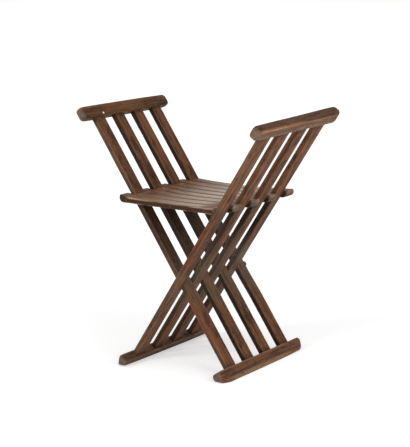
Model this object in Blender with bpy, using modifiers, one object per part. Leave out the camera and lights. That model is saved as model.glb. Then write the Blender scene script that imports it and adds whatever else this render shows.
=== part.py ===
# Folding stool: two slatted frames interlaced like crossed fingers on one pivot rod, and a scissor
# seat whose slats hinge by turns on a rod in the left frame and on a rod in the right frame.
# Metres, +Z up, -Y the front, X across the arms. The origin is on the floor under the pivot.

import math

import bmesh
import bpy
from mathutils import Matrix

# Frames
OPEN_ANGLE = math.radians(34.6)     # lean of each frame from the vertical when the stool is open
PIVOT_HEIGHT = 0.221                # main pivot above the floor
PIVOT_TO_ARM = 0.501                # along a leg slat, from the pivot to the underside of the arm rail
SLATS_PER_FRAME = 4
SLAT_WIDTH = 0.0352                 # front to back, for leg and seat slats alike
SLAT_THICKNESS = 0.0150
SLAT_EDGE_RADIUS = 0.0018
LAYER_GAP = 0.0028                  # between the slats of one frame and those of the other

# Rails across the ends of the slats
RAIL_WIDTH = 0.0252
ARM_RAIL_OVERHANG = 0.0395          # beyond the outer slats of its own frame
FOOT_RAIL_OVERHANG = 0.0470
RAIL_EDGE_RADIUS = 0.0036
RAIL_END_RADIUS = 0.0085            # corners of the ends, seen from the side and from above
ARM_RAIL_HEIGHT = 0.0310
FOOT_RAIL_HEIGHT = 0.0275           # along the slat, from the floor to the rail's top
FOOT_TOE_LENGTH = 0.110             # length at each end where the underside curves up
FOOT_TOE_RADIUS = 2.000

# Tenons and their pegs
TENON_WIDTH = 0.0240
TENON_THICKNESS = 0.0085
TENON_LENGTH = 0.0140
PEG_DIAMETER = 0.0050
PEG_PROUD = 0.0004

# Seat
SEAT_HEIGHT = 0.4405                # top of the seat at its middle, the lowest place
SEAT_SLAT_THICKNESS = 0.0130        # at the middle of the seat
SEAT_DISH_RADIUS = 2.300            # hollow of the seat's top, seen from the front
SEAT_EDGE_RADIUS = 0.0016
SEAT_TAIL = 0.0240                  # beyond the hinge rod
SEAT_TAIL_RADIUS = 0.0130           # rounded underside of the tail
SEAT_END_GAP = 0.0012               # from a slat's free end to the leg slat that it stops against

# Iron rods
ROD_DIAMETER = 0.0065
ROD_PROUD = 0.0006
ROD_CHAMFER = 0.0006

# Clearances and facets
CLEARANCE = 0.0003
CUT_MARGIN = 0.004                  # how far a cutter reaches past what it cuts
ROD_SIDES = 20
PEG_SIDES = 12
TOE_POINTS = 8
DISH_CUTS = 11

# Worked out from the sizes above
LAYER_PITCH = SLAT_WIDTH + LAYER_GAP
LAYERS = 2 * SLATS_PER_FRAME
HINGE_HEIGHT = SEAT_HEIGHT - SEAT_SLAT_THICKNESS / 2
HINGE_X = (HINGE_HEIGHT - PIVOT_HEIGHT) * math.tan(OPEN_ANGLE)
PIVOT_TO_FLOOR = PIVOT_HEIGHT / math.cos(OPEN_ANGLE)
PIVOT_TO_FOOT = PIVOT_TO_FLOOR - FOOT_RAIL_HEIGHT
ROW_DEPTH = 2 * (SLATS_PER_FRAME - 1) * LAYER_PITCH + SLAT_WIDTH
ARM_RAIL_LENGTH = ROW_DEPTH + 2 * ARM_RAIL_OVERHANG
FOOT_RAIL_LENGTH = ROW_DEPTH + 2 * FOOT_RAIL_OVERHANG
STACK_DEPTH = LAYERS * LAYER_PITCH - LAYER_GAP
BORE_RADIUS = ROD_DIAMETER / 2 + CLEARANCE

WOOD = {"roughness": 0.5, "metallic": 0.0}
FINISHES = {
    "walnut_legs": {"colour": (0.075, 0.036, 0.017), **WOOD},
    "walnut_rails": {"colour": (0.085, 0.040, 0.018), **WOOD},
    "walnut_seat": {"colour": (0.120, 0.066, 0.036), **WOOD},
    "walnut_pegs": {"colour": (0.060, 0.030, 0.015), **WOOD},
    "iron": {"colour": (0.050, 0.047, 0.044), "roughness": 0.6, "metallic": 0.9},
}


def clear_scene():
    for item in list(bpy.data.objects):
        bpy.data.objects.remove(item, do_unlink=True)


def new_collection(name):
    collection = bpy.data.collections.new(name)
    bpy.context.scene.collection.children.link(collection)
    return collection


def new_material(name, colour, roughness, metallic):
    material = bpy.data.materials.new(name)
    material.use_nodes = True
    shader = material.node_tree.nodes["Principled BSDF"]
    shader.inputs["Base Color"].default_value = (*colour, 1.0)
    shader.inputs["Roughness"].default_value = roughness
    shader.inputs["Metallic"].default_value = metallic
    return material


clear_scene()
STOOL = new_collection("folding_stool")
CUTTERS = new_collection("cutters")
MATERIALS = {name: new_material(name, **finish) for name, finish in FINISHES.items()}


def new_axis(name, location, lean=0.0, turn=0.0):
    # An empty on a joint's axis, which carries every piece that turns with it
    axis = bpy.data.objects.new(name, None)
    axis.location = location
    axis.rotation_euler = (0.0, lean, turn)
    axis.empty_display_size = 0.05
    STOOL.objects.link(axis)
    return axis


def add_box(bm, size, centre):
    place = Matrix.Translation(centre) @ Matrix.Diagonal((*size, 1.0))
    return bmesh.ops.create_cube(bm, size=1.0, matrix=place)["verts"]


def add_cylinder(bm, diameter, length, centre, direction, sides):
    # The axis of a new cylinder is Z, and it is laid along X or Y
    turn = Matrix.Rotation(math.pi / 2, 4, "Y" if direction == "X" else "X")
    bmesh.ops.create_cone(bm, cap_ends=True, segments=sides, radius1=diameter / 2,
                          radius2=diameter / 2, depth=length, matrix=Matrix.Translation(centre) @ turn)


def edges_along(bm, direction):
    axis = "XYZ".index(direction)
    others = [k for k in range(3) if k != axis]
    found = []
    for edge in bm.edges:
        start, end = (vert.co for vert in edge.verts)
        if all(abs(start[k] - end[k]) < CLEARANCE / 10 for k in others):
            found.append(edge)
    return found


def round_edges(bm, edges, radius, segments):
    bmesh.ops.bevel(bm, geom=edges, offset=radius, segments=segments, profile=0.5, affect="EDGES")


def add_object(name, bm, parent, finish=None):
    mesh = bpy.data.meshes.new(name)
    bm.to_mesh(mesh)
    bm.free()
    item = bpy.data.objects.new(name, mesh)
    item.parent = parent
    if finish:
        STOOL.objects.link(item)
        mesh.materials.append(MATERIALS[finish])
        mesh.shade_smooth()
        mesh.set_sharp_from_angle(angle=math.radians(35))
    else:
        CUTTERS.objects.link(item)
        item.hide_render = True
        item.display_type = "WIRE"
    return item


def add_boolean(item, operation, tool):
    modifier = item.modifiers.new(tool.name, "BOOLEAN")
    modifier.operation = operation
    modifier.object = tool
    modifier.solver = "EXACT"


def add_bevel(item, radius, segments=2):
    modifier = item.modifiers.new("worn edges", "BEVEL")
    modifier.width = radius
    modifier.segments = segments
    modifier.limit_method = "ANGLE"
    modifier.angle_limit = math.radians(45)


def row(centre):
    # Front-to-back places of one frame's slats
    first = centre - (SLATS_PER_FRAME - 1) * LAYER_PITCH
    return [first + 2 * LAYER_PITCH * k for k in range(SLATS_PER_FRAME)]


def bore(name, parent):
    bm = bmesh.new()
    add_cylinder(bm, 2 * BORE_RADIUS, STACK_DEPTH + 2 * CUT_MARGIN, (0, 0, 0), "Y", ROD_SIDES)
    return add_object(name, bm, parent)


def rod(name, parent, front=-STACK_DEPTH / 2 - ROD_PROUD, back=STACK_DEPTH / 2 + ROD_PROUD):
    bm = bmesh.new()
    add_cylinder(bm, ROD_DIAMETER, back - front, (0, (front + back) / 2, 0), "Y", ROD_SIDES)
    item = add_object(name, bm, parent, "iron")
    add_bevel(item, ROD_CHAMFER, segments=1)
    return item


def mortises(name, axis, centre, face, side):
    # One blind mortise for each tenon, open at the rail's face; side is +1 above it and -1 below
    bm = bmesh.new()
    depth = TENON_LENGTH + CLEARANCE + CUT_MARGIN
    middle = face + side * (TENON_LENGTH + CLEARANCE - CUT_MARGIN) / 2
    for y in row(centre):
        add_box(bm, (TENON_THICKNESS + 2 * CLEARANCE, TENON_WIDTH + 2 * CLEARANCE, depth), (0, y, middle))
    return add_object(name, bm, axis)


def peg_bores(name, axis, centre, height):
    bm = bmesh.new()
    for y in row(centre):
        add_cylinder(bm, PEG_DIAMETER + 2 * CLEARANCE, RAIL_WIDTH + 2 * CUT_MARGIN, (0, y, height), "X",
                     PEG_SIDES)
    return add_object(name, bm, axis)


def add_pegs(rail_name, axis, centre, height):
    for number, y in enumerate(row(centre), 1):
        bm = bmesh.new()
        add_cylinder(bm, PEG_DIAMETER, RAIL_WIDTH + 2 * PEG_PROUD, (0, y, height), "X", PEG_SIDES)
        add_object(f"{rail_name}_peg_{number}", bm, axis, "walnut_pegs")


def rail_bar(name, axis, size, centre):
    bm = bmesh.new()
    add_box(bm, size, centre)
    round_edges(bm, edges_along(bm, "X") + edges_along(bm, "Z"), RAIL_END_RADIUS, 4)
    item = add_object(name, bm, axis, "walnut_rails")
    add_bevel(item, RAIL_EDGE_RADIUS)
    return item


def arm_rail(name, axis, centre):
    middle = PIVOT_TO_ARM + ARM_RAIL_HEIGHT / 2
    return rail_bar(name, axis, (RAIL_WIDTH, ARM_RAIL_LENGTH, ARM_RAIL_HEIGHT), (0, centre, middle))


def arc(start, height, radius, reach):
    # Points of a curve that leaves the level at its start and turns upwards
    turns = [reach * step / (TOE_POINTS - 1) for step in range(TOE_POINTS)]
    return [(start + radius * math.sin(turn), height + radius * (1 - math.cos(turn))) for turn in turns]


def underfoot(name, centre):
    # Everything below a foot: the floor, and the space under the toes, which curve up slowly and then
    # round the corner of the end
    toe = arc(FOOT_RAIL_LENGTH / 2 - FOOT_TOE_LENGTH, 0.0, FOOT_TOE_RADIUS,
              math.asin((FOOT_TOE_LENGTH - RAIL_END_RADIUS) / FOOT_TOE_RADIUS))
    toe += arc(*toe[-1], RAIL_END_RADIUS, math.radians(70))[1:]
    steep = (toe[-1][0] - toe[-2][0]) / (toe[-1][1] - toe[-2][1])
    toe.append((toe[-1][0] + RAIL_END_RADIUS * steep, toe[-1][1] + RAIL_END_RADIUS))
    outline = [(-y, z) for y, z in reversed(toe)] + toe
    outline += [(toe[-1][0], -FOOT_RAIL_HEIGHT), (-toe[-1][0], -FOOT_RAIL_HEIGHT)]
    curve = bpy.data.curves.new(name, "CURVE")
    curve.dimensions = "2D"
    curve.fill_mode = "BOTH"
    curve.extrude = PIVOT_TO_FLOOR
    spline = curve.splines.new("POLY")
    spline.points.add(len(outline) - 1)
    for point, (y, z) in zip(spline.points, outline):
        point.co = (y, z, 0.0, 1.0)
    spline.use_cyclic_u = True
    drawn = bpy.data.objects.new(name, curve)
    STOOL.objects.link(drawn)
    bpy.context.view_layer.update()
    evaluated = drawn.evaluated_get(bpy.context.evaluated_depsgraph_get())
    bm = bmesh.new()
    bm.from_mesh(bpy.data.meshes.new_from_object(evaluated))
    bpy.data.objects.remove(drawn, do_unlink=True)
    bmesh.ops.remove_doubles(bm, verts=bm.verts, dist=CLEARANCE / 10)
    # The outline was drawn in XY: its X becomes Y, its Y becomes Z
    stand = Matrix(((0, 0, 1, 0), (1, 0, 0, centre), (0, 1, 0, 0), (0, 0, 0, 1)))
    bmesh.ops.transform(bm, matrix=stand, verts=bm.verts)
    return add_object(name, bm, None)


def foot_rail(name, axis, centre):
    # The bar is deep enough to be cut level all across its leaning width
    depth = FOOT_RAIL_HEIGHT + RAIL_WIDTH * math.tan(OPEN_ANGLE) + RAIL_END_RADIUS
    middle = -PIVOT_TO_FOOT - depth / 2
    item = rail_bar(name, axis, (RAIL_WIDTH, FOOT_RAIL_LENGTH, depth), (0, centre, middle))
    add_boolean(item, "DIFFERENCE", underfoot(f"under_{name}", centre))
    return item


def leg_slat(name, axis, y):
    # A shaft between two shoulders, and a bar through it that stands out as a tenon at each end
    top = PIVOT_TO_ARM - CLEARANCE
    bottom = -PIVOT_TO_FOOT + CLEARANCE
    bm = bmesh.new()
    add_box(bm, (SLAT_THICKNESS, SLAT_WIDTH, top - bottom), (0, y, (top + bottom) / 2))
    round_edges(bm, edges_along(bm, "Z"), SLAT_EDGE_RADIUS, 2)
    item = add_object(name, bm, axis, "walnut_legs")
    bm = bmesh.new()
    length = PIVOT_TO_ARM + PIVOT_TO_FOOT + 2 * TENON_LENGTH
    add_box(bm, (TENON_THICKNESS, TENON_WIDTH, length), (0, y, (PIVOT_TO_ARM - PIVOT_TO_FOOT) / 2))
    add_boolean(item, "UNION", add_object(f"{name}_tenons", bm, axis))
    return item


def build_frame(side, axis, centre, arm_name, foot_name, bores):
    # One frame: an arm rail, a foot rail, four slats between them and a peg through every tenon
    arm = arm_rail(arm_name, axis, centre)
    foot = foot_rail(foot_name, axis, centre)
    slats = [leg_slat(f"{side}_leg_slat_{number}", axis, y) for number, y in enumerate(row(centre), 1)]
    ends = (
        (arm, PIVOT_TO_ARM, 1),
        (foot, -PIVOT_TO_FOOT, -1),
    )
    for rail, face, way in ends:
        height = face + way * TENON_LENGTH / 2
        add_boolean(rail, "DIFFERENCE", mortises(f"{rail.name}_mortises", axis, centre, face, way))
        pegs_tool = peg_bores(f"{rail.name}_peg_bores", axis, centre, height)
        for piece in (rail, *slats):
            add_boolean(piece, "DIFFERENCE", pegs_tool)
        add_pegs(rail.name, axis, centre, height)
    for slat in slats:
        for tool in bores:
            add_boolean(slat, "DIFFERENCE", tool)


def dish(x):
    # How far the seat's top has risen at a distance from the middle of the stool
    return SEAT_DISH_RADIUS - math.sqrt(SEAT_DISH_RADIUS ** 2 - x ** 2)


def seat_slat(name, axis, y, bores):
    # Drawn from the hinge rod at its left: a rounded tail behind it, a hollow top, and a free end cut to
    # the lean of the leg slat that it stops against
    stop = 2 * HINGE_X - (SLAT_THICKNESS / 2 + SEAT_END_GAP) / math.cos(OPEN_ANGLE)
    tail_height = SEAT_SLAT_THICKNESS + dish(HINGE_X + SEAT_TAIL)
    bm = bmesh.new()
    add_box(bm, (SEAT_TAIL + stop, SLAT_WIDTH, SEAT_SLAT_THICKNESS), ((stop - SEAT_TAIL) / 2, y, 0))
    bmesh.ops.subdivide_edges(bm, edges=edges_along(bm, "X"), cuts=DISH_CUTS, use_grid_fill=True)
    for vert in bm.verts:
        if vert.co.z > 0:
            vert.co.z += dish(vert.co.x - HINGE_X)
        if vert.co.x > stop - CLEARANCE:
            vert.co.x += vert.co.z * math.tan(OPEN_ANGLE)
    heel = [edge for edge in edges_along(bm, "Y")
            if all(v.co.x < CLEARANCE - SEAT_TAIL and v.co.z < 0 for v in edge.verts)]
    round_edges(bm, heel, min(SEAT_TAIL_RADIUS, tail_height - 2 * SEAT_EDGE_RADIUS), 5)
    item = add_object(name, bm, axis, "walnut_seat")
    add_bevel(item, SEAT_EDGE_RADIUS)
    for tool in bores:
        add_boolean(item, "DIFFERENCE", tool)


def centre_pin(name, axis, y):
    # The length of the centre rod that lies in one seat slat's layer
    limit = STACK_DEPTH / 2 + ROD_PROUD
    reach = (LAYER_PITCH - CLEARANCE) / 2
    pin = rod(name, axis, max(y - reach, -limit), min(y + reach, limit))
    pin.location.x = HINGE_X


def build_seat(side, axis, places, bores):
    for number, y in enumerate(places, 1):
        seat_slat(f"{side}_seat_slat_{number}", axis, y, bores)
        centre_pin(f"{side}_centre_pin_{number}", axis, y)


def build_stool():
    left_centre = LAYER_PITCH / 2
    right_centre = -LAYER_PITCH / 2
    left_frame = new_axis("left_frame_axis", (0, 0, PIVOT_HEIGHT), lean=-OPEN_ANGLE)
    right_frame = new_axis("right_frame_axis", (0, 0, PIVOT_HEIGHT), lean=OPEN_ANGLE)
    left_seat = new_axis("left_seat_axis", (-HINGE_X, 0, HINGE_HEIGHT))
    right_seat = new_axis("right_seat_axis", (HINGE_X, 0, HINGE_HEIGHT), turn=math.pi)
    seat_centre = new_axis("seat_centre_axis", (0, 0, HINGE_HEIGHT))
    pivot_bore = bore("main_pivot_bore", left_frame)
    left_bore = bore("left_seat_bore", left_seat)
    right_bore = bore("right_seat_bore", right_seat)
    centre_bore = bore("seat_centre_bore", seat_centre)
    build_frame("left", left_frame, left_centre, "left_arm_rail", "right_foot_rail",
                (pivot_bore, left_bore))
    build_frame("right", right_frame, right_centre, "right_arm_rail", "left_foot_rail",
                (pivot_bore, right_bore))
    # The seat slats lie in the layers of the other frame; the right ones are turned end for end
    build_seat("left", left_seat, row(right_centre), (left_bore, centre_bore))
    build_seat("right", right_seat, row(-left_centre), (right_bore, centre_bore))
    rod("main_pivot_rod", left_frame)
    rod("left_seat_rod", left_seat)
    rod("right_seat_rod", right_seat)


build_stool()
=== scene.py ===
# Looks of the folding stool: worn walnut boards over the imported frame
import math
import random

import bpy
from mathutils import Matrix, Vector, noise


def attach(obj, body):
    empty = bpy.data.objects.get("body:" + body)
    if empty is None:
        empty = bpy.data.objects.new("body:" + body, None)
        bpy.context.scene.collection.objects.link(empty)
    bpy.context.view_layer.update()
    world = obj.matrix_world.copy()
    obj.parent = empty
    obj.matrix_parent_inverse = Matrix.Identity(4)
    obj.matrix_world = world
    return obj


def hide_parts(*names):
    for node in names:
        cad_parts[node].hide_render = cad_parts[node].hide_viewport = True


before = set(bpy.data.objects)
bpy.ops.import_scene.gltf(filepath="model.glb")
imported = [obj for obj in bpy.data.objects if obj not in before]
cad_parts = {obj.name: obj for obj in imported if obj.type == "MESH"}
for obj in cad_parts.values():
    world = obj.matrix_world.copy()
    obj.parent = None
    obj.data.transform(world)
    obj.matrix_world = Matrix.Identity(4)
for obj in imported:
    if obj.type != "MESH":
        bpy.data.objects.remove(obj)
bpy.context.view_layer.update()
print("frame loaded:", len(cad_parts), "nodes")

# sizes shared by all the boards, in metres, the same as in the solids
stool = {
    "lean": math.radians(34.6),     # each frame from the vertical
    "pivotHeight": 0.221,
    "pitch": 0.038,                 # slat layer to slat layer
    "slatsPerFrame": 4,
    "hingeHeight": 0.434,           # seat rods above the floor
    "boreRadius": 0.00355,
}
stool["hingeX"] = (stool["hingeHeight"] - stool["pivotHeight"]) * math.tan(stool["lean"])
stool["toFloor"] = stool["pivotHeight"] / math.cos(stool["lean"])
stool["toHinge"] = (stool["hingeHeight"] - stool["pivotHeight"]) / math.cos(stool["lean"])

# how all the pieces are made
making = {
    "boreSides": 28,
    "drillSpare": 0.02,             # the drill is this much longer than its hole
    "smoothAngle": math.radians(38),
    "hair": 0.0001,                 # places nearer than this are the same
    "straight": 0.999,              # cosine from which an edge counts as running along an axis
    "facing": 0.9,                  # and a face as looking that way
}


def framePlace(lean):
    return Matrix.Translation((0, 0, stool["pivotHeight"])) @ Matrix.Rotation(lean, 4, "Y")


def rowOf(centre):
    first = centre - (stool["slatsPerFrame"] - 1) * stool["pitch"]
    return [first + 2 * stool["pitch"] * k for k in range(stool["slatsPerFrame"])]


def ease(value, low, high):
    part = min(max((value - low) / (high - low), 0.0), 1.0)
    return part * part * (3 - 2 * part)


# each frame's old dark finish with painted shadow under the seat, soot, painted shade, painted warm light,
# dust and wear, 0 for none, and how far hand work is off, in metres: the rails' top and bottom by the place
# along them, the toe tips and the arm's slope near and far, and the lower ends of slats by number
leftFrame = {
    "body": "left_frame", "side": "left", "place": framePlace(-stool["lean"]), "centre": stool["pitch"] / 2,
    "outer": 1, "arm": "left_arm_rail", "foot": "right_foot_rail", "shelterAbove": 1.0, "sootAndShade": 0.85,
    "lowDarkening": {3: 0.3, 4: 0.35}, "dust": 0.75, "dustOf": {}, "redFrom": -0.165, "redTo": -0.035,
    "stray": {1: -0.0012, 4: 0.0032},
    "armHighShade": 0.0, "armLowShade": 0.5, "armShade": (-0.002, 0.012), "armDust": 0.0, "armWear": lambda y: 0.3,
    # painted warm light on the left arm's inner face near its front end
    "armWarmLight": lambda y: ease(y, -0.125, -0.075) * ease(-y, -0.08, -0.02),
    "armTop": lambda y: 0.0, "armBottom": lambda y: -0.0024, "armNear": -0.0025, "facet": (0.0, 0.0),
    "footSoot": 0.1, "footDust": 0.15, "tips": (0.0105, 0.0095),
    "sole": lambda y: -0.0022 * ease(-y, 0.10, 0.17) + 0.0008 * ease(y, -0.02, 0.15),
}
rightFrame = {
    "body": "right_frame", "side": "right", "place": framePlace(stool["lean"]), "centre": -stool["pitch"] / 2,
    "outer": -1, "arm": "right_arm_rail", "foot": "left_foot_rail", "shelterAbove": 0.4, "sootAndShade": 0.4,
    "lowDarkening": {}, "dust": 0.85, "dustOf": {1: 0.55}, "redFrom": 0.050, "redTo": 0.235,
    "stray": {},
    "armHighShade": 0.5, "armLowShade": 0.0, "armShade": (0.0175, 0.0225), "armDust": 0.8,
    "armWear": lambda y: 1.6 - 1.2 * ease(y, -0.09, 0.08),
    "armWarmLight": lambda y: 0.0,
    "armTop": lambda y: 0.013 * y + 0.018 * max(0.0, y), "armBottom": lambda y: -0.026 * max(0.0, -y),
    "armNear": 0.0, "facet": (0.0090, 0.0050),
    "footSoot": 0.55, "footDust": 0.5, "tips": (0.0125, 0.0105),
    "sole": lambda y: 0.0,
}


# shader maths
class Value:
    def __init__(self, tree, socket=None):
        self.tree = tree
        self.socket = socket

    def add(self, kind, settings=None, inputs=None, output=0):
        node = self.tree.nodes.new(kind)
        for key, setting in (settings or {}).items():
            setattr(node, key, setting)
        for key, entry in (inputs or {}).items():
            if isinstance(entry, Value):
                self.tree.links.new(entry.socket, node.inputs[key])
            else:
                node.inputs[key].default_value = entry
        return Value(self.tree, node.outputs[output] if len(node.outputs) else None)

    def maths(self, operation, first, second=0.0):
        return self.add("ShaderNodeMath", {"operation": operation}, {0: first, 1: second})

    def __add__(self, other):
        return self.maths("ADD", self, other)

    def __sub__(self, other):
        return self.maths("SUBTRACT", self, other)

    def __rsub__(self, other):
        return self.maths("SUBTRACT", other, self)

    def __mul__(self, other):
        return self.maths("MULTIPLY", self, other)

    __radd__ = __add__

    def size(self):
        return self.maths("ABSOLUTE", self)

    def highest(self, other):
        return self.maths("MAXIMUM", self, other)

    def lowest(self, other):
        return self.maths("MINIMUM", self, other)

    def parts(self):
        # the three axes of a vector
        split = self.add("ShaderNodeSeparateXYZ", None, {0: self}).socket.node
        return [Value(self.tree, output) for output in split.outputs]

    def attribute(self, name, output):
        return self.add("ShaderNodeAttribute", {"attribute_name": name}, None, output)

    def objectPlace(self):
        return self.add("ShaderNodeTexCoord", None, None, 3)

    def speckle(self, scale, detail):
        return self.add("ShaderNodeTexNoise", None,
                        {"Vector": self.objectPlace(), "Scale": scale, "Detail": detail})

    def partly(self, share):
        # leaves what the share doesn't take at 1
        return self * share + (1 - share)

    def ramp(self, low, high, start=0.0, end=1.0):
        return self.add("ShaderNodeMapRange", {"interpolation_type": "SMOOTHSTEP"},
                        {0: self, 1: low, 2: high, 3: start, 4: end})

    def mix(self, first, second):
        return self.add("ShaderNodeMix", {"data_type": "RGBA"}, {0: self, 6: first, 7: second}, 2)

    def bump(self, strength, distance, height):
        return self.add("ShaderNodeBump", None,
                        {"Strength": strength, "Distance": distance, "Height": height})

    def close(self, shader):
        self.add("ShaderNodeOutputMaterial", None, {0: shader})

    def surface(self, sockets):
        self.close(self.add("ShaderNodeBsdfPrincipled", None, sockets))


def colour(*parts):
    return (*parts, 1.0)


def newMaterial(name):
    material = bpy.data.materials.new(name)
    material.use_nodes = True
    material.node_tree.nodes.clear()
    return material, Value(material.node_tree)


# noise with the grain: its scale along and across, detail, roughness and distortion
walnutGrain = {
    "figure": (4.0, 75.0, 4.0, 0.62, 0.9),      # bands of the growth rings
    "fibre": (11.0, 380.0, 5.0, 0.7, 0.0),      # fine streaks
    "pores": (90.0, 1300.0, 2.0, 0.55, 0.0),
    "patina": (17.0, 34.0, 4.0, 0.6, 0.0),      # handling and old wax
    "stain": (48.0, 95.0, 4.0, 0.65, 0.0),      # small dark and pale spots
    "dust": (90.0, 130.0, 5.0, 0.7, 0.0),
}
# where each effect starts and where it is full, in its noise; for the painted shade along the groove, in
# metres from the side
walnutReach = {
    "figure": (0.38, 0.62), "streak": (0.40, 0.68), "pores": (0.60, 0.72), "red": (0.34, 0.48),
    "grime": (0.50, 0.64), "spots": (0.55, 0.68), "flankShade": (0.55, 0.95), "joint": (0.25, 0.6),
    "wear": (0.40, 0.60), "grooveShade": (0.0015, 0.0075), "redPatch": (0.35, 0.55), "redFibre": (0.3, 0.6),
    "dustAndSheen": (0.35, 0.65), "sootAndShade": (0.40, 0.62), "ends": (0.3, 0.6), "dust": (0.55, 0.8),
}
# how strong or how patchy an effect is, and what roughness and relief come from
walnutShare = {
    "tone": 0.6, "pores": 0.6, "joint": 0.6, "redPatch": 0.6, "redFibre": 0.4, "paleFibre": 0.5,
    "paleDust": 0.7, "grooveShade": 0.55, "sootAndShade": 0.35, "ends": 0.7,
    "apart": (13.7, 5.3, 9.1),          # how far from each other in the noise two boards can be
    "rough": {"patina": 0.22, "fibre": 0.16, "pores": 0.2, "wear": -0.12},
    "height": {"fibre": 0.5, "figure": 0.25, "pores": -1.2, "dust": 0.3},
    "relief": 0.0006,
}


def walnut(name, finish):
    # boardCoord runs along, across and through the board, boardEdge is the same from -1 to 1
    material, maker = newMaterial(name)
    at, share = walnutReach, walnutShare
    place = maker.attribute("boardCoord", 1)
    tone = maker.attribute("boardTone", 2)
    shelter, sootAndShade, dustAndSheen = maker.attribute("boardZone", 1).parts()
    shift = maker.add("ShaderNodeCombineXYZ", None,
                      {axis: tone * far for axis, far in enumerate(share["apart"])})
    point = maker.add("ShaderNodeVectorMath", {"operation": "ADD"}, {0: place, 1: shift})

    def layer(kind):
        along, across, detail, rough, distort = walnutGrain[kind]
        coords = maker.add("ShaderNodeVectorMath", {"operation": "MULTIPLY"},
                           {0: point, 1: (along, across, across)})
        return maker.add("ShaderNodeTexNoise", None, {"Vector": coords, "Scale": 1.0, "Detail": detail,
                                                      "Roughness": rough, "Distortion": distort})

    figure, fibre, patina = layer("figure"), layer("fibre"), layer("patina")
    stain, dust = layer("stain"), layer("dust")
    pores = layer("pores").ramp(*at["pores"])

    # how far each place is from the board's ends, edges and faces
    reach = maker.attribute("boardEdge", 1).parts()
    gaps = [(1.0 - axis.size()) * half for axis, half in zip(reach, finish["half"])]
    near = [gap.ramp(0.0, finish["wearWidth"], 1.0, 0.0) for gap in gaps]
    arris = (near[1] * near[2]).highest(near[0] * near[1].highest(near[2]))
    patchy = patina.ramp(*at["wear"]).partly(1 - finish["wearEven"])
    wear = arris * patchy * finish["wear"] * maker.attribute("boardWear", 2)
    grooveShade = gaps[1].ramp(*at["grooveShade"], finish["grooveShade"], 0.0)
    # darker near the slat ends where they enter the rails: grime and painted shadow
    joint = gaps[0].ramp(0.0, finish["jointWidth"], 1.0, 0.0)
    joint *= stain.ramp(*at["joint"]).partly(share["joint"])
    ends = gaps[0].ramp(0.0, finish["endWidth"], 1.0, 0.0)
    ends *= stain.ramp(*at["ends"]).partly(share["ends"])

    # the wood itself, then old wax and dirt with painted shade, then what use has done, with dust and painted
    # sheen
    base = figure.ramp(*at["figure"]).mix(finish["dark"], finish["mid"])
    base = (fibre.ramp(*at["streak"]) * finish["streak"]).mix(base, finish["light"])
    base = ((tone - 0.5).size() * share["tone"]).mix(base, finish["toned"])
    base = (patina.ramp(*at["red"], 1.0, 0.0) * finish["red"]).mix(base, finish["wine"])
    base = (patina.ramp(*at["grime"]) * finish["grime"]).mix(base, finish["dark"])
    base = (stain.ramp(*at["spots"]) * finish["spots"]).mix(base, finish["pore"])
    # painted shade on the sides that face a neighbouring slat, where little light reaches
    base = (near[1].ramp(*at["flankShade"]) * shelter * finish["flankShade"]).mix(base, finish["pore"])
    base = (joint * finish["jointGrimeAndShadow"]).mix(base, finish["pore"])
    # red streaks, and on the left arm painted warm light
    reds = patina.ramp(*at["redPatch"]) * share["redPatch"] + fibre.ramp(*at["redFibre"]) * share["redFibre"]
    base = (maker.attribute("boardRed", 2) * reds * finish["redAndLightStreaks"]).mix(base, finish["wine"])
    pallor = fibre.ramp(*at["dustAndSheen"]) * share["paleFibre"] + dust * share["paleDust"] + finish["pallor"]
    # pale dust on the legs and rails; on the seat top, painted sheen
    base = (dustAndSheen * pallor).mix(base, finish["pale"])
    # painted shade along the sides of the seat slats' tops, deeper where the sheen is painted
    base = (grooveShade * dustAndSheen.partly(share["grooveShade"])).mix(base, finish["dark"])
    # soot, iron stains, and painted shade and shadow, as the zones give them
    base = (sootAndShade * stain.ramp(*at["sootAndShade"]).partly(share["sootAndShade"])).mix(base, finish["sootAndShade"])
    base = (ends * finish["endGrey"]).mix(base, finish["dusty"])
    base = (pores * share["pores"]).mix(base, finish["pore"])
    base = wear.mix(base, finish["rubbedAndSheen"])
    base = (dust.ramp(*at["dust"]) * finish["dust"]).mix(base, finish["dusty"])
    layers = {"figure": figure, "fibre": fibre, "pores": pores, "patina": patina, "dust": dust, "wear": wear}
    rough = sum(layers[kind] * part for kind, part in share["rough"].items()) + finish["rough"]
    height = sum(layers[kind] * part for kind, part in share["height"].items())
    maker.surface({"Base Color": base, "Roughness": rough, "Specular IOR Level": finish["gloss"],
                   "Normal": maker.bump(finish["bump"], share["relief"], height)})
    return material


# modelling helpers
def clearSelection():
    if bpy.context.object and bpy.context.object.mode != "OBJECT":
        bpy.ops.object.mode_set(mode="OBJECT")
    bpy.ops.object.select_all(action="DESELECT")


def useOnly(piece):
    clearSelection()
    bpy.context.view_layer.objects.active = piece
    piece.select_set(True)


def applyPlace(piece):
    useOnly(piece)
    bpy.ops.object.transform_apply(location=True, rotation=True, scale=True)


def addBlock(name, size, centre):
    clearSelection()
    bpy.ops.mesh.primitive_cube_add(size=1, location=centre, scale=size)
    piece = bpy.context.object
    piece.name = name
    applyPlace(piece)
    return piece


def copyPiece(blank, name, place, turn=0.0):
    useOnly(blank)
    bpy.ops.object.duplicate()
    piece = bpy.context.object
    piece.name = piece.data.name = name
    piece.location = place
    piece.rotation_euler = (0, 0, turn)
    applyPlace(piece)
    return piece


def pick(piece, kind, test):
    # edit mode with only what passes the test selected; kind is vertices, edges or polygons
    useOnly(piece)
    bpy.ops.object.mode_set(mode="EDIT")
    bpy.ops.mesh.select_mode(type={"vertices": "VERT", "edges": "EDGE", "polygons": "FACE"}[kind])
    bpy.ops.mesh.select_all(action="DESELECT")
    bpy.ops.object.mode_set(mode="OBJECT")
    for item in getattr(piece.data, kind):
        item.select = test(item)
    bpy.ops.object.mode_set(mode="EDIT")


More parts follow.
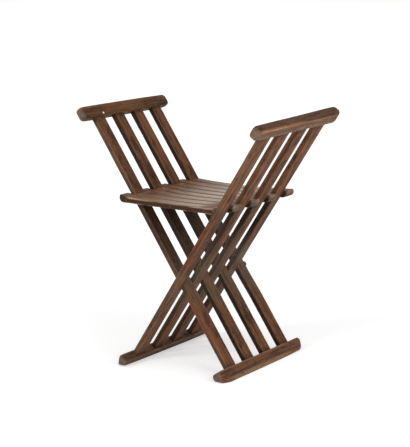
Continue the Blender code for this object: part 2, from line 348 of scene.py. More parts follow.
def pickAll(piece):
    useOnly(piece)
    bpy.ops.object.mode_set(mode="EDIT")
    bpy.ops.mesh.select_all(action="SELECT")


def done():
    bpy.ops.object.mode_set(mode="OBJECT")


def pickEdges(piece, axes, where):
    # the edges that run along one of the axes, if their middle passes
    points = piece.data.vertices

    def test(edge):
        first, last = (points[index].co for index in edge.vertices)
        run = last - first
        straight = any(abs(run[axis]) > making["straight"] * run.length for axis in axes)
        return straight and where((first + last) / 2, run.length)

    pick(piece, "edges", test)


def bevelPicked(radius, segments):
    bpy.ops.mesh.bevel(offset=radius, offset_type="OFFSET", segments=segments, profile=0.5, affect="EDGES")
    done()


def roundEdges(piece, axes, radius, segments, where=lambda middle, length: True):
    pickEdges(piece, axes, where)
    bevelPicked(radius, segments)


def ringCuts(piece, axis, cuts, least):
    # cuts rings into the long edges that run along the axis
    pickEdges(piece, (axis,), lambda middle, length: length > least)
    bpy.ops.mesh.subdivide(number_cuts=cuts)
    done()


def addLoops(piece, normal, places):
    # cuts the whole skin along planes square to the normal
    normal = Vector(normal)
    pickAll(piece)
    for place in places:
        bpy.ops.mesh.select_all(action="SELECT")
        bpy.ops.mesh.bisect(plane_co=normal * place, plane_no=normal)
    done()


def raiseRings(piece, axis, chosen, rise):
    # lifts the chosen side ring by ring
    places = sorted({round(vertex.co[axis], 4) for vertex in piece.data.vertices})
    for place in places:
        if rise(place):
            pick(piece, "vertices", lambda vertex: round(vertex.co[axis], 4) == place and chosen(vertex.co))
            bpy.ops.transform.translate(value=(0, 0, rise(place)))
            done()


def cutOff(piece, point, outward):
    # saws the piece through and closes the cut
    pickAll(piece)
    bpy.ops.mesh.bisect(plane_co=point, plane_no=outward, use_fill=True, clear_outer=True)
    done()


def applyModifier(piece, kind, settings):
    useOnly(piece)
    modifier = piece.modifiers.new(kind.lower(), kind)
    for key, setting in settings.items():
        setattr(modifier, key, setting)
    bpy.ops.object.modifier_apply(modifier=modifier.name)


def softenEdges(piece, width, segments, angle=40, slivers=True):
    applyModifier(piece, "BEVEL", {"width": width, "segments": segments, "limit_method": "ANGLE",
                                   "angle_limit": math.radians(angle)})
    # points that the bevel has drawn together are joined, so that later cuts find a closed skin
    pickAll(piece)
    bpy.ops.mesh.remove_doubles(threshold=making["hair"])
    if slivers:
        bpy.ops.mesh.dissolve_degenerate(threshold=making["hair"])
    bpy.ops.mesh.normals_make_consistent(inside=False)
    done()


def roundSides(piece, segments, radius):
    # the sharp edges round both flat sides, each with the radius for its place
    mesh, widest, sharp = piece.data, 0.02, 0.7     # the largest radius, and the least fold in radians
    half = max(vertex.co.x for vertex in mesh.vertices)
    normals = {}
    for face in mesh.polygons:
        for key in face.edge_keys:
            normals.setdefault(key, []).append(face.normal)
    weights = mesh.attributes.new("bevel_weight_edge", "FLOAT", "EDGE")
    for edge in mesh.edges:
        first, last = (mesh.vertices[index].co for index in edge.vertices)
        flat = min(abs(first.x), abs(last.x)) > half - making["hair"] and first.x * last.x > 0
        if flat and normals[edge.key][0].angle(normals[edge.key][1]) > sharp:
            weights.data[edge.index].value = radius((first + last) / 2) / widest
    applyModifier(piece, "BEVEL", {"width": widest, "segments": segments, "limit_method": "WEIGHT"})
    mesh.attributes.remove(mesh.attributes["bevel_weight_edge"])


def roundCorners(piece, radius, segments, where):
    # the edges across both ends
    points = piece.data.vertices
    end = max(vertex.co.y for vertex in points) - making["hair"]
    width = max(vertex.co.x for vertex in points)

    def test(edge):
        first, last = (points[index].co for index in edge.vertices)
        atEnd = min(abs(first.y), abs(last.y)) > end and first.y * last.y > 0
        return atEnd and abs(first.x - last.x) > width and where((first + last) / 2)

    pick(piece, "edges", test)
    bevelPicked(radius, segments)


def cutWith(piece, cutter):
    applyModifier(piece, "BOOLEAN", {"operation": "DIFFERENCE", "object": cutter, "solver": "EXACT"})
    bpy.data.objects.remove(cutter, do_unlink=True)


def drill(piece, centre, width):
    clearSelection()
    bpy.ops.mesh.primitive_cylinder_add(vertices=making["boreSides"], radius=stool["boreRadius"],
                                        depth=width + making["drillSpare"], location=centre,
                                        rotation=(math.pi / 2, 0, 0))
    cutWith(piece, bpy.context.object)


# slow waves of a hand plane and small losses
handPlane = {"waves": 22.0, "waveShare": 0.5, "waveStep": 3.1, "losses": 95.0, "lossShare": 1.2,
             "lossStep": 5.7}


def handWork(piece, seed, amount, held=None):
    # held keeps what joins other pieces
    h = handPlane
    for vertex in piece.data.vertices:
        spot = vertex.co
        if held and held(spot):
            continue
        wave = noise.noise(Vector((seed * h["waveStep"], 0, 0)) + spot * h["waves"])
        loss = noise.noise(Vector((0, seed * h["lossStep"], 0)) + spot * h["losses"])
        depth = h["waveShare"] * wave + h["lossShare"] * max(0.0, loss) ** 2
        vertex.co = spot - vertex.normal * amount * depth


def finishBoard(piece, seed, grain, half, material, side, node, zones):
    # grain coordinates first, while the board still lies square, then its place in the stool
    mesh = piece.data
    for name in ("boardCoord", "boardEdge", "boardZone"):
        mesh.attributes.new(name, "FLOAT_VECTOR", "POINT")
    for name in ("boardTone", "boardWear", "boardRed"):
        mesh.attributes.new(name, "FLOAT", "POINT")
    tone = random.Random(seed).random()
    for index, vertex in enumerate(mesh.vertices):
        spot = grain(vertex.co)
        mesh.attributes["boardCoord"].data[index].vector = spot
        mesh.attributes["boardEdge"].data[index].vector = [s / h for s, h in zip(spot, half)]
        *zone, wear, red = zones(spot)
        mesh.attributes["boardZone"].data[index].vector = zone
        mesh.attributes["boardWear"].data[index].value = wear
        mesh.attributes["boardRed"].data[index].value = red
        mesh.attributes["boardTone"].data[index].value = tone
    mesh.materials.clear()
    mesh.materials.append(material)
    piece.matrix_world = side["place"]
    applyPlace(piece)
    bpy.ops.object.shade_smooth_by_angle(angle=making["smoothAngle"])
    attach(piece, side["body"])
    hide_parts(node)


# leg slats: sizes, then where along the slat, from the main pivot, its finish and painted shade change
legSlat = {
    "width": 0.0352, "thickness": 0.0150, "toArm": 0.5007, "toFoot": stool["toFloor"] - 0.0278,
    "arris": 0.0019, "arrisSegments": 4, "rings": 60, "longEdge": 0.1, "tenonInset": 0.0032, "tenon": 0.0132,
    "uneven": 0.00035, "joint": 0.004, "crook": (0.02, 0.10),
    "seatLine": (-0.005, 0.012), "seatShadowRise": (-0.01, 0.19), "lowDarkeningRise": (-0.02, 0.03),
    "lowDarkeningEnd": (0.10, 0.22), "dustAt": 0.02, "dustReach": (0.02, 0.15), "wornFrom": (0.004, 0.022),
    "redRise": (-0.03, 0.04), "redEnd": (-0.04, 0.02), "frontEdge": (-0.0174, -0.0150), "frontDust": 0.35,
    "sootAndShadeOverWear": 0.7, "redOverSootAndShade": 0.8,
}
legSlat["length"] = legSlat["toArm"] + legSlat["toFoot"]
legSlat["middle"] = (legSlat["toArm"] - legSlat["toFoot"]) / 2
legSlat["half"] = (legSlat["length"] / 2, legSlat["width"] / 2, legSlat["thickness"] / 2)
legFinish = {
    "half": legSlat["half"], "wear": 0.42, "wearWidth": 0.0040, "wearEven": 0.1, "streak": 0.7, "grime": 0.75,
    "red": 0.35, "redAndLightStreaks": 0.6, "spots": 0.55, "dust": 0.12, "jointWidth": 0.016, "jointGrimeAndShadow": 0.6,
    "endWidth": 0.004, "endGrey": 0.0, "flankShade": 0.75, "grooveShade": 0.0, "pallor": 0.0,
    "dark": colour(0.040, 0.015, 0.007), "mid": colour(0.190, 0.076, 0.031),
    "light": colour(0.310, 0.140, 0.062), "toned": colour(0.125, 0.043, 0.017),
    "wine": colour(0.180, 0.056, 0.035), "pore": colour(0.014, 0.007, 0.004),
    "sootAndShade": colour(0.029, 0.023, 0.016), "pale": colour(0.135, 0.110, 0.080),
    "rubbedAndSheen": colour(0.38, 0.22, 0.13), "dusty": colour(0.21, 0.18, 0.145),
    "rough": 0.34, "gloss": 0.085, "bump": 0.4,
}


def legBlank():
    s = legSlat
    piece = addBlock("legBlank", (s["thickness"], s["width"], s["length"]), (0, 0, s["middle"]))
    roundEdges(piece, (2,), s["arris"], s["arrisSegments"])
    ringCuts(piece, 2, s["rings"], s["longEdge"])
    for end in (1, -1):         # each end face is inset and drawn out as a tenon
        pick(piece, "polygons", lambda face: face.normal.z * end > making["facing"])
        bpy.ops.mesh.inset(thickness=s["tenonInset"])
        bpy.ops.mesh.extrude_region_move(TRANSFORM_OT_translate={"value": (0, 0, end * s["tenon"])})
        done()
    for along in (0.0, stool["toHinge"]):
        drill(piece, (0, 0, along), s["width"])
    return piece


def legZones(side, number):
    # painted shade on the sides between the slats, painted shadow with old dark finish under the seat, dust
    # round the pivot, and a red stretch at the front
    s = legSlat
    between = (number > 1, number < stool["slatsPerFrame"])
    lowDarkening = side["lowDarkening"].get(number, 0.0)
    dustiest = side["dust"] * side["dustOf"].get(number, 1.0)

    def zones(spot):
        along = spot[0] + s["middle"]
        above = ease(along - stool["toHinge"], *s["seatLine"])
        # painted shade on the sides that face another slat, weaker above the seat line
        shelter = between[spot[1] > 0] * (1 + (side["shelterAbove"] - 1) * above)
        # painted shadow under the seat, with old dark finish, growing towards the seat line
        sootAndShade = side["sootAndShade"] * ease(along, *s["seatShadowRise"]) * (1 - above)
        # the slats listed there are darker just below the pivot
        sootAndShade += lowDarkening * ease(-along, *s["lowDarkeningRise"]) * (1 - ease(-along, *s["lowDarkeningEnd"]))
        wear = ease(s["length"] / 2 - abs(spot[0]), *s["wornFrom"]) * (1 - s["sootAndShadeOverWear"] * sootAndShade)
        front = (number == 1) * (1 - ease(spot[1], *s["frontEdge"]))
        dust = dustiest * (1 - ease(abs(along - s["dustAt"]), *s["dustReach"]))
        dust = max(dust, s["frontDust"] * front)
        red = front * ease(along - side["redFrom"], *s["redRise"])
        red *= 1 - ease(along - side["redTo"], *s["redEnd"])
        return shelter, sootAndShade * (1 - s["redOverSootAndShade"] * red), dust * (1 - red), wear, red

    return zones


def makeLegSlats(side, blank, material, seed):
    s = legSlat
    for number, y in enumerate(rowOf(side["centre"]), 1):
        node = f"{side['side']}_leg_slat_{number}"
        piece = copyPiece(blank, node + "_board", (0, y, 0))
        stray = side["stray"].get(number, 0.0)

        def crook(p):
            # the lower part stands off sideways, as in a slat that has warped
            return stray * ease(-p.z, *s["crook"])

        handWork(piece, seed + number, s["uneven"],
                 lambda p: p.z > s["toArm"] - s["joint"] or p.z < s["joint"] - s["toFoot"])
        for vertex in piece.data.vertices:
            vertex.co.y += crook(vertex.co)
        finishBoard(piece, seed + number, lambda p: (p.z - s["middle"], p.y - y - crook(p), p.x),
                    s["half"], material, side, node, legZones(side, number))


# arm and foot rails: sizes, with endClear and endReach in end radii, then wear and dust on the arms, and how
# far the painted light lifts the painted shade
rail = {
    "width": 0.0252, "armLength": 0.3436, "armHeight": 0.0310, "armFrom": 0.501, "footLength": 0.3572,
    "footHeight": 0.0275, "endRadius": 0.0100, "endSegments": 7, "endClear": 1.2, "endReach": 1.1,
    "corner": 0.0098, "edge": 0.0040, "worn": 0.0066, "edgeSegments": 5, "rings": 33, "taper": 0.009,
    "uneven": 0.0005, "fit": 0.0003, "facetIn": 0.0065, "toeLength": 0.110, "toeRadius": 2.000,
    "toeBase": 0.0065, "toeEnd": 0.0105, "toeCorner": 0.0110, "soleHeld": 0.012,
    "tipCuts": ((0.62, 0.66, 0.42), (0.85, 0.40, 0.34)),    # outwards, lengthways and down, for each cut
    "tipEdge": 0.0022, "tipSegments": 3, "tipAngle": 22,
    "wornUp": (-0.002, 0.008), "wornEnd": (0.001, 0.014), "innerWear": 0.3, "dustTop": 0.005,
    "armLightOverShade": 0.2,
}
rail["armMiddle"] = rail["armFrom"] + rail["armHeight"] / 2
rail["footTop"] = rail["footHeight"] - stool["toFloor"]
rail["footMiddle"] = rail["footTop"] - rail["footHeight"] / 2
rail["armHalf"] = (rail["armLength"] / 2, rail["armHeight"] / 2, rail["width"] / 2)
rail["footHalf"] = (rail["footLength"] / 2, rail["footHeight"] / 2, rail["width"] / 2)
# wine also colours the painted warm light on the left arm's inner face
railFinish = dict(
    legFinish, half=rail["armHalf"], wear=0.75, wearWidth=0.0042, wearEven=0.4, grime=0.6, red=0.15,
    redAndLightStreaks=0.55, jointGrimeAndShadow=0.0, endWidth=0.010, endGrey=0.45, wine=colour(0.25, 0.105, 0.034),
    pale=colour(0.27, 0.185, 0.13), rubbedAndSheen=colour(0.46, 0.29, 0.17))
footFinish = dict(
    railFinish, half=rail["footHalf"], wear=0.4, wearWidth=0.0052, wearEven=0.1, dust=0.35,
    red=legFinish["red"], wine=legFinish["wine"], pale=legFinish["pale"])


def cutMortises(piece, side, face, stray):
    # pockets for the tenons, half in the rail and half in the open
    s, fit = legSlat, 2 * rail["fit"]
    inset = 2 * s["tenonInset"]
    size = (s["thickness"] - inset + fit, s["width"] - inset + fit, 2 * s["tenon"] + fit)
    pockets = [addBlock("pocket", size, (0, y + stray.get(number, 0.0), face))
               for number, y in enumerate(rowOf(side["centre"]), 1)]
    clearSelection()
    for pocket in pockets:
        pocket.select_set(True)
    bpy.context.view_layer.objects.active = pockets[0]
    bpy.ops.object.join()
    cutWith(piece, pockets[0])


def ringsOf(length):
    # places along a rail, from one rounded end to the other
    last = length / 2 - rail["endClear"] * rail["endRadius"]
    return [last * (2 * step / (rail["rings"] - 1) - 1) for step in range(rail["rings"])]


def armBlank():
    # the outer arrises are worn rounder by hands, and the top rises a little towards one end
    r = rail
    rings = ringsOf(r["armLength"])
    piece = addBlock("armBlank", (r["width"], r["armLength"], r["armHeight"]), (0, 0, r["armMiddle"]))
    addLoops(piece, (0, 1, 0), rings)
    raiseRings(piece, 1, lambda p: p.z > r["armMiddle"], lambda y: r["taper"] * y)
    roundCorners(piece, r["endRadius"], r["endSegments"], lambda place: True)

    def radius(place):
        if abs(place.y) > rings[-1]:
            return r["corner"]
        return r["worn"] if place.x > 0 and place.z > r["armMiddle"] else r["edge"]

    roundSides(piece, r["edgeSegments"], radius)
    return piece


def footBlank():
    # the sole is brought level with the floor, then raised towards each toe
    r = rail
    rings, middle = ringsOf(r["footLength"]), r["footMiddle"]
    piece = addBlock("footBlank", (r["width"], r["footLength"], r["footHeight"]), (0, 0, middle))
    for end in (1, -1):
        pick(piece, "vertices", lambda vertex: vertex.co.x * end > 0 and vertex.co.z < middle)
        bpy.ops.transform.translate(value=(0, 0, -end * r["width"] / 2 * math.tan(stool["lean"])))
        done()
    addLoops(piece, (0, 1, 0), rings)
    start = r["footLength"] / 2 - r["toeLength"]
    raiseRings(piece, 1, lambda p: p.z < middle,
               lambda y: max(0.0, abs(y) - start) ** 2 / (2 * r["toeRadius"]))
    roundCorners(piece, r["toeEnd"], r["endSegments"], lambda place: place.z > middle)
    roundCorners(piece, r["toeBase"], r["endSegments"], lambda place: place.z < middle)

    def radius(place):
        if abs(place.y) > rings[-1]:
            return r["toeCorner"] if place.x > 0 else r["corner"]
        return r["worn"] if place.x > 0 and place.z < middle else r["edge"]

    roundSides(piece, r["edgeSegments"], radius)
    return piece


def wearTips(piece, side):
    # the sharp tips of the toes are worn away
    r = rail
    half = r["width"] / 2
    low = r["footTop"] - r["footHeight"] - half * math.tan(stool["lean"])
    for toe, depth in zip((-1, 1), side["tips"]):
        tip = Vector((side["outer"] * half, side["centre"] + toe * r["footLength"] / 2, low))
        for across, along, down in r["tipCuts"]:
            outward = Vector((side["outer"] * across, toe * along, -down)).normalized()
            cutOff(piece, tip - outward * depth, outward)
    softenEdges(piece, r["tipEdge"], r["tipSegments"], r["tipAngle"])


def wearFacet(piece, side):
    # hands have worn the outer arris of the arm to a slope, lower at the near end
    r = rail
    near, far = side["facet"]
    if not near:
        return
    half, end, top = -side["outer"] * r["width"] / 2, r["armLength"] / 2, r["armFrom"] + r["armHeight"]
    first = Vector((half + side["outer"] * r["facetIn"], side["centre"] - end, top))
    low = Vector((half, side["centre"] - end, top - near))
    high = Vector((half, side["centre"] + end, top - far))
    outward = (low - first).cross(high - first).normalized()
    cutOff(piece, first, outward if outward.z > 0 else -outward)
    softenEdges(piece, r["tipEdge"], r["tipSegments"], r["tipAngle"], slivers=False)


def makeArm(side, blank, material, seed):
    r = rail
    centre, top, end = side["centre"], r["armHeight"] / 2, r["armLength"] / 2
    near, far = side["facet"]
    piece = copyPiece(blank, side["arm"] + "_board", (0, centre, 0), math.pi if side["outer"] > 0 else 0.0)
    pick(piece, "vertices", lambda vertex: vertex.co.y - centre < -end + r["endReach"] * r["endRadius"])
    bpy.ops.transform.translate(value=(0, side["armNear"], 0))
    done()
    raiseRings(piece, 1, lambda p: p.z > r["armMiddle"], lambda y: side["armTop"](y - centre))
    raiseRings(piece, 1, lambda p: p.z < r["armMiddle"], lambda y: side["armBottom"](y - centre))
    wearFacet(piece, side)
    handWork(piece, seed, r["uneven"], lambda p: p.z < r["armFrom"] + r["fit"])
    cutMortises(piece, side, r["armFrom"], {})

    def grain(p):
        slope = (near + far) / 2 - (near - far) * (p.y - centre) / r["armLength"]
        return p.y - centre, p.z - r["armMiddle"] + (slope if p.z > r["armMiddle"] else 0.0), p.x

    def zones(spot):
        along, up, across = spot
        outside = across * side["outer"] < 0
        # painted shade: the left arm darker low down, the right arm darker along its top
        sootAndShade = side["armLowShade"] + (side["armHighShade"] - side["armLowShade"]) * ease(up, *side["armShade"])
        wear = side["armWear"](along) * ease(up, *r["wornUp"]) * (1.0 if outside else r["innerWear"])
        wear *= ease(end - abs(along), *r["wornEnd"])
        # painted warm light on the inner face of the left arm near its front end
        warmLight = 0.0 if outside else side["armWarmLight"](along)
        dust = side["armDust"] * outside * (1 - ease(up, top - r["dustTop"], top))
        return 0.0, sootAndShade * (1 - r["armLightOverShade"] * warmLight), dust, wear, warmLight

    finishBoard(piece, seed, grain, r["armHalf"], material, side, side["arm"], zones)


def makeFoot(side, blank, material, seed):
    r = rail
    centre = side["centre"]
    piece = copyPiece(blank, side["foot"] + "_board", (0, centre, 0), 0.0 if side["outer"] > 0 else math.pi)
    raiseRings(piece, 1, lambda p: p.z < r["footMiddle"], lambda y: side["sole"](y - centre))
    wearTips(piece, side)
    handWork(piece, seed, r["uneven"],
             lambda p: p.z > r["footTop"] - r["fit"] or p.z < -stool["toFloor"] + r["soleHeld"])
    cutMortises(piece, side, r["footTop"], side["stray"])
    finishBoard(piece, seed, lambda p: (p.y - centre, p.z - r["footTop"] + r["footHeight"] / 2, p.x),
                r["footHalf"], material, side, side["foot"],
                lambda spot: (0.0, side["footSoot"], side["footDust"], 1.0, 0.0))


# an old nail in the inner face of the left arm, and the main pivot's round head at the back
nail = {
    "name": "left_arm_nail", "place": (0.0122, -0.0813, 0.5054), "outward": (1, 0, 0),
    "turn": (0, math.pi / 2, 0), "sides": 20, "radius": 0.0029, "height": 0.0016, "inset": 0.00145,
    "dome": 0.0006, "edge": 0.0003, "edgeSegments": 2,
    "bright": colour(0.82, 0.78, 0.70), "dull": colour(0.55, 0.48, 0.40), "spots": (1800.0, 3.0),
    "dullAt": (0.4, 0.7), "metal": 0.6, "rough": 0.25, "roughSpots": 0.3,
}
pivotHead = {
    "name": "main_pivot_head", "place": (0, 0.1540, 0), "outward": (0, 1, 0),
    "turn": (math.pi / 2, 0, 0), "sides": 24, "radius": 0.0072, "height": 0.0072, "inset": 0.0024,
    "dome": 0.0004, "edge": 0.0016, "edgeSegments": 3,
}


def makeHead(head, material):
    # a round blank whose outer face is inset and drawn out, on the left frame
    outward = Vector(head["outward"])
    clearSelection()
    bpy.ops.mesh.primitive_cylinder_add(vertices=head["sides"], radius=head["radius"], depth=head["height"],
                                        location=head["place"], rotation=head["turn"])
    piece = bpy.context.object
    piece.name = piece.data.name = head["name"]
    applyPlace(piece)
    pick(piece, "polygons", lambda face: face.normal.dot(outward) > making["facing"])
    bpy.ops.mesh.inset(thickness=head["inset"])
    bpy.ops.transform.translate(value=outward * head["dome"])
    done()
    softenEdges(piece, head["edge"], head["edgeSegments"])
    piece.data.materials.append(material)
    piece.matrix_world = leftFrame["place"]
    applyPlace(piece)
    bpy.ops.object.shade_smooth_by_angle(angle=making["smoothAngle"])
    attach(piece, leftFrame["body"])


def brightNail():
    n = nail
    material, maker = newMaterial("bright nail")
    spots = maker.speckle(*n["spots"])
    maker.surface({"Base Color": spots.ramp(*n["dullAt"]).mix(n["bright"], n["dull"]),
                   "Metallic": n["metal"], "Roughness": spots * n["roughSpots"] + n["rough"]})
    return material


# seat slats: sizes, then where the painted sheen, soot and iron show, from the hinge or from the middle of
# the seat
seatSlat = {
    "width": 0.0352, "thickness": 0.0130, "dishRadius": 2.300, "tail": 0.0222, "heel": 0.0130,
    "heelSegments": 7, "heelClear": 0.001, "endGap": 0.0012, "worn": 0.0032, "wornSegments": 4,
    "edge": 0.0017, "edgeSegments": 3, "rings": 30, "uneven": 0.0004, "nearSides": 0.9,
    "sheenRise": (-0.13, 0.06), "sheenEnd": (0.075, 0.115), "sheenSkin": 0.001, "sheenFront": 0.8, "sheenBack": 0.35,
    "sheenDepth": (-0.14, 0.02), "stain": 0.7, "stainReach": (0.005, 0.013), "stainTop": 0.004,
    "tailSoot": 0.8, "tailReach": (-0.012, 0.002), "sideWear": 0.2, "wornFrom": (-0.006, 0.012),
    "tailWear": 0.55, "tailTip": (-0.014, -0.008), "sootAndShadeOverWear": 0.7, "frontLayer": -3.4,
}
seatSlat["stop"] = (2 * stool["hingeX"]
                    - (legSlat["thickness"] / 2 + seatSlat["endGap"]) / math.cos(stool["lean"]))
seatSlat["length"] = seatSlat["stop"] + seatSlat["tail"]
seatSlat["middle"] = (seatSlat["stop"] - seatSlat["tail"]) / 2
seatSlat["half"] = (seatSlat["length"] / 2, seatSlat["width"] / 2, seatSlat["thickness"] / 2)
leftSeat = {"body": "left_seat", "row": rowOf(rightFrame["centre"]), "hand": 1,
            "place": Matrix.Translation((-stool["hingeX"], 0, stool["hingeHeight"]))}
rightSeat = {"body": "right_seat", "row": rowOf(-leftFrame["centre"]), "hand": -1,
             "place": Matrix.Translation((stool["hingeX"], 0, stool["hingeHeight"]))
             @ Matrix.Rotation(math.pi, 4, "Z")}
# pale is the colour of the painted sheen on the seat top
seatFinish = dict(
    legFinish, half=seatSlat["half"], wear=0.8, wearWidth=0.0032, streak=0.6, grime=0.5, red=0.5, spots=0.35,
    dust=0.2, rough=0.26, gloss=0.06, jointGrimeAndShadow=0.0, endGrey=0.2, flankShade=0.9, grooveShade=0.75, pallor=0.25,
    mid=colour(0.370, 0.180, 0.088), light=colour(0.52, 0.31, 0.18), dark=colour(0.090, 0.039, 0.019),
    pale=colour(0.70, 0.57, 0.455), rubbedAndSheen=colour(0.46, 0.31, 0.21))


def seatBlank():
    # from the hinge at its left: a tail with a rounded heel, a hollow top, and a free end that is sawn
    # to the lean of the legs
    s = seatSlat
    spare, face = s["thickness"], s["thickness"] / 2 - making["hair"]
    piece = addBlock("seatBlank", (s["length"] + spare, s["width"], s["thickness"]),
                     (s["middle"] + spare / 2, 0, 0))
    first = s["heel"] - s["tail"] + s["heelClear"]      # no ring in the way of the rounded heel
    addLoops(piece, (1, 0, 0),
             [first + (s["stop"] - first) * step / s["rings"] for step in range(s["rings"])])
    raiseRings(piece, 0, lambda p: p.z > 0, lambda x: (x - stool["hingeX"]) ** 2 / (2 * s["dishRadius"]))
    cutOff(piece, (s["stop"], 0, 0), (math.cos(stool["lean"]), 0, -math.sin(stool["lean"])))
    roundEdges(piece, (1,), s["heel"], s["heelSegments"],
               lambda middle, length: middle.x < making["hair"] - s["tail"] and middle.z < 0)
    points = piece.data.vertices

    def topArris(edge):
        first, last = (points[index].co for index in edge.vertices)
        return min(first.z, last.z) > face and abs(first.y + last.y) > s["nearSides"] * s["width"]

    pick(piece, "edges", topArris)
    bevelPicked(s["worn"], s["wornSegments"])
    softenEdges(piece, s["edge"], s["edgeSegments"])
    for along in (0.0, stool["hingeX"]):
        drill(piece, (along, 0, 0), s["width"])
    return piece


def seatZones(seat, depth):
    # painted sheen where the worn top reflects the bright background, most at the right and back; the tails
    # are sooty, and iron has stained the bores
    s = seatSlat
    front = depth < s["frontLayer"] * stool["pitch"]
    face = s["thickness"] / 2 - s["sheenSkin"]
    # how strong the painted sheen is, more on the back slats
    rubbedAndSheen = s["sheenFront"] + s["sheenBack"] * ease(depth, *s["sheenDepth"])

    def zones(spot):
        along = spot[0] + s["middle"]
        across = seat["hand"] * (along - stool["hingeX"])
        # painted sheen on the top, in a band across the seat
        dustAndSheen = ease(across, *s["sheenRise"]) * (1 - ease(across, *s["sheenEnd"])) * (spot[2] > face) * rubbedAndSheen
        fromRod = min(math.hypot(along - rod, spot[2]) for rod in (0.0, stool["hingeX"]))
        stain = s["stain"] * (1 - ease(fromRod, *s["stainReach"])) * (spot[2] < s["stainTop"])
        sootAndShade = max(s["tailSoot"] * (1 - ease(along, *s["tailReach"])), stain)
        wear = (1.0 if front and spot[1] < 0 else s["sideWear"]) * (1 - s["sootAndShadeOverWear"] * sootAndShade)
        wear *= ease(along, *s["wornFrom"])
        if seat["hand"] < 0:
            wear = max(wear, s["tailWear"] * (1 - ease(along, *s["tailTip"])))
        # every seat slat gets the painted shade on its sides between slats
        return 1.0, sootAndShade, dustAndSheen, wear, 0.0

    return zones


def makeSeatSlats(seat, blank, material, seed):
    s = seatSlat
    for number, y in enumerate(seat["row"], 1):
        node = f"{seat['body']}_slat_{number}"
        piece = copyPiece(blank, node + "_board", (0, y, 0))
        handWork(piece, seed + number, s["uneven"])
        finishBoard(piece, seed + number, lambda p: (p.x - s["middle"], p.y - y, p.z), s["half"], material,
                    seat, node, seatZones(seat, seat["hand"] * y))


legWalnut = walnut("leg walnut", legFinish)
railWalnut = walnut("rail walnut", railFinish)
footWalnut = walnut("foot walnut", footFinish)
seatWalnut = walnut("seat walnut", seatFinish)
print("walnut finishes made")

blanks = {"leg": legBlank(), "arm": armBlank(), "foot": footBlank(), "seat": seatBlank()}
for first, side in ((1, leftFrame), (11, rightFrame)):
    makeLegSlats(side, blanks["leg"], legWalnut, first)
    makeArm(side, blanks["arm"], railWalnut, first + 6)
    makeFoot(side, blanks["foot"], footWalnut, first + 7)
makeHead(nail, brightNail())
print("frames made")
for first, seat in ((21, leftSeat), (31, rightSeat)):
    makeSeatSlats(seat, blanks["seat"], seatWalnut, first)
for blank in blanks.values():
    bpy.data.objects.remove(blank, do_unlink=True)
print("seat made")

# iron rods and the pegs keep their solids
rodFinish = {
    "dark": colour(0.050, 0.041, 0.034), "rust": colour(0.070, 0.044, 0.029), "rustAt": (0.4, 0.65),
    "grain": (900.0, 4.0), "patches": (160.0, 3.0), "metalAt": (0.35, 0.6), "metal": (0.35, 0.05),
    "rough": 0.5, "roughGrain": 0.3, "bump": (0.4, 0.0003),
}
pegFinish = {
    "dark": colour(0.035, 0.018, 0.010), "light": colour(0.10, 0.055, 0.032), "lightAt": (0.35, 0.7),
    "fibre": (700.0, 4.0), "rough": 0.45, "roughFibre": 0.2, "bump": (0.3, 0.0003),
}


def forgedIron():
    f = rodFinish
    material, maker = newMaterial("forged iron")
    grain = maker.speckle(*f["grain"])
    patches = maker.speckle(*f["patches"])
    maker.surface({"Base Color": patches.ramp(*f["rustAt"]).mix(f["dark"], f["rust"]),
                   "Roughness": grain * f["roughGrain"] + f["rough"],
                   "Metallic": patches.ramp(*f["metalAt"], *f["metal"]),
                   "Normal": maker.bump(*f["bump"], grain)})
    return material


def pegWood():
    f = pegFinish
    material, maker = newMaterial("peg walnut")
    fibre = maker.speckle(*f["fibre"])
    maker.surface({"Base Color": fibre.ramp(*f["lightAt"]).mix(f["dark"], f["light"]),
                   "Roughness": fibre * f["roughFibre"] + f["rough"],
                   "Normal": maker.bump(*f["bump"], fibre)})
    return material


iron = forgedIron()
peg = pegWood()
for name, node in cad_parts.items():
    if "rod" in name or "pin" in name:
        node.material_slots[0].material = iron
    elif "peg" in name:
        node.material_slots[0].material = peg
makeHead(pivotHead, iron)
print("rods and pegs finished")

# studio
studio = {
    "floorColour": colour(0.92, 0.92, 0.92), "floorSize": 30, "floorDrop": 0.0004,
    "liftReach": (0.1, 2.5), "nearLift": 0.45, "farLift": 0.62,
    "skyReach": (0.05, 0.6), "skyLow": 0.9, "skyHigh": 0.42,
}
lamps = {
    "key": {"place": (-0.95, -3.1, 1.75), "target": (0, 0, 0.35), "size": 0.8, "power": 36},
    "fill": {"place": (2.6, -0.6, 1.2), "target": (0, 0, 0.3), "size": 1.6, "power": 26},
}
white = colour(1, 1, 1)


def seenDirectly(maker):
    # rays that should find a white background: the camera's, and those by way of gloss or glass
    rays = maker.add("ShaderNodeLightPath").socket.node.outputs
    seen = [Value(maker.tree, rays[f"Is {kind} Ray"]) for kind in ("Camera", "Glossy", "Transmission")]
    return (seen[0] + seen[1] + seen[2]).lowest(1.0)


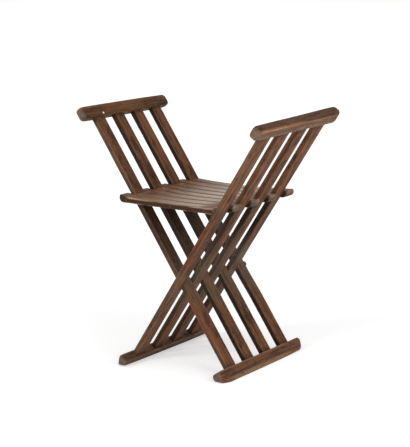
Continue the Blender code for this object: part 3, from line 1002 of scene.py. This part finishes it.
def makeFloor():
    # the paper's lift grows away from the stool, so that the shadow stays and the edge is white
    clearSelection()
    bpy.ops.mesh.primitive_plane_add(size=studio["floorSize"], location=(0, 0, -studio["floorDrop"]))
    floor = bpy.context.object
    floor.name = "studioFloor"
    material, maker = newMaterial("studio paper")
    paper = maker.add("ShaderNodeBsdfDiffuse", None, {"Color": studio["floorColour"]})
    x, y, _ = maker.objectPlace().parts()
    lift = (x * x + y * y).ramp(*studio["liftReach"], studio["nearLift"], studio["farLift"])
    glow = maker.add("ShaderNodeEmission", None, {"Color": white, "Strength": seenDirectly(maker) * lift})
    maker.close(maker.add("ShaderNodeAddShader", None, {0: paper, 1: glow}))
    floor.data.materials.append(material)


def makeSky():
    # white to the camera and in gloss; as light, a dome that is brightest near the floor
    world = bpy.data.worlds.new("studio")
    bpy.context.scene.world = world
    world.use_nodes = True
    world.node_tree.nodes.clear()
    maker = Value(world.node_tree)
    height = maker.add("ShaderNodeTexCoord", None, None, 0).parts()[2]
    dome = height.ramp(*studio["skyReach"], studio["skyLow"], studio["skyHigh"])
    strength = seenDirectly(maker).highest(dome)
    sky = maker.add("ShaderNodeBackground", None, {"Color": white, "Strength": strength})
    maker.add("ShaderNodeOutputWorld", None, {0: sky})


def addLamp(name, place, target, size, power):
    clearSelection()
    bpy.ops.object.light_add(type="AREA", location=place)
    lamp = bpy.context.object
    lamp.name = name
    lamp.data.size = size
    lamp.data.energy = power
    lamp.rotation_euler = (Vector(target) - Vector(place)).to_track_quat("-Z", "Y").to_euler()


makeFloor()
makeSky()
for name, lamp in lamps.items():
    addLamp(name, **lamp)

# camera fitted to the photograph, with its slight roll
view = {"azimuth": 38.359, "elevation": 12.309, "distance": 3.4672, "target": (-0.0088, 0.0, 0.3611),
        "roll": -1.3514, "focalPixels": 1331.24, "imageHeight": 447}


def makeCamera():
    turn, rise, roll = (math.radians(view[key]) for key in ("azimuth", "elevation", "roll"))
    back = Vector((math.sin(turn) * math.cos(rise), -math.cos(turn) * math.cos(rise), math.sin(rise)))
    right = (-back).cross(Vector((0, 0, 1))).normalized()
    up = right.cross(-back)
    across = right * math.cos(roll) + up * math.sin(roll)
    above = up * math.cos(roll) - right * math.sin(roll)
    lens = bpy.data.cameras.new("photoCamera")
    lens.lens = lens.sensor_width * view["focalPixels"] / view["imageHeight"]
    camera = bpy.data.objects.new("photoCamera", lens)
    bpy.context.scene.collection.objects.link(camera)
    camera.matrix_world = Matrix((across, above, back)).transposed().to_4x4()
    camera.location = Vector(view["target"]) + back * view["distance"]
    bpy.context.scene.camera = camera


makeCamera()
bpy.context.scene.view_settings.view_transform = "Standard"
print("studio and camera ready")
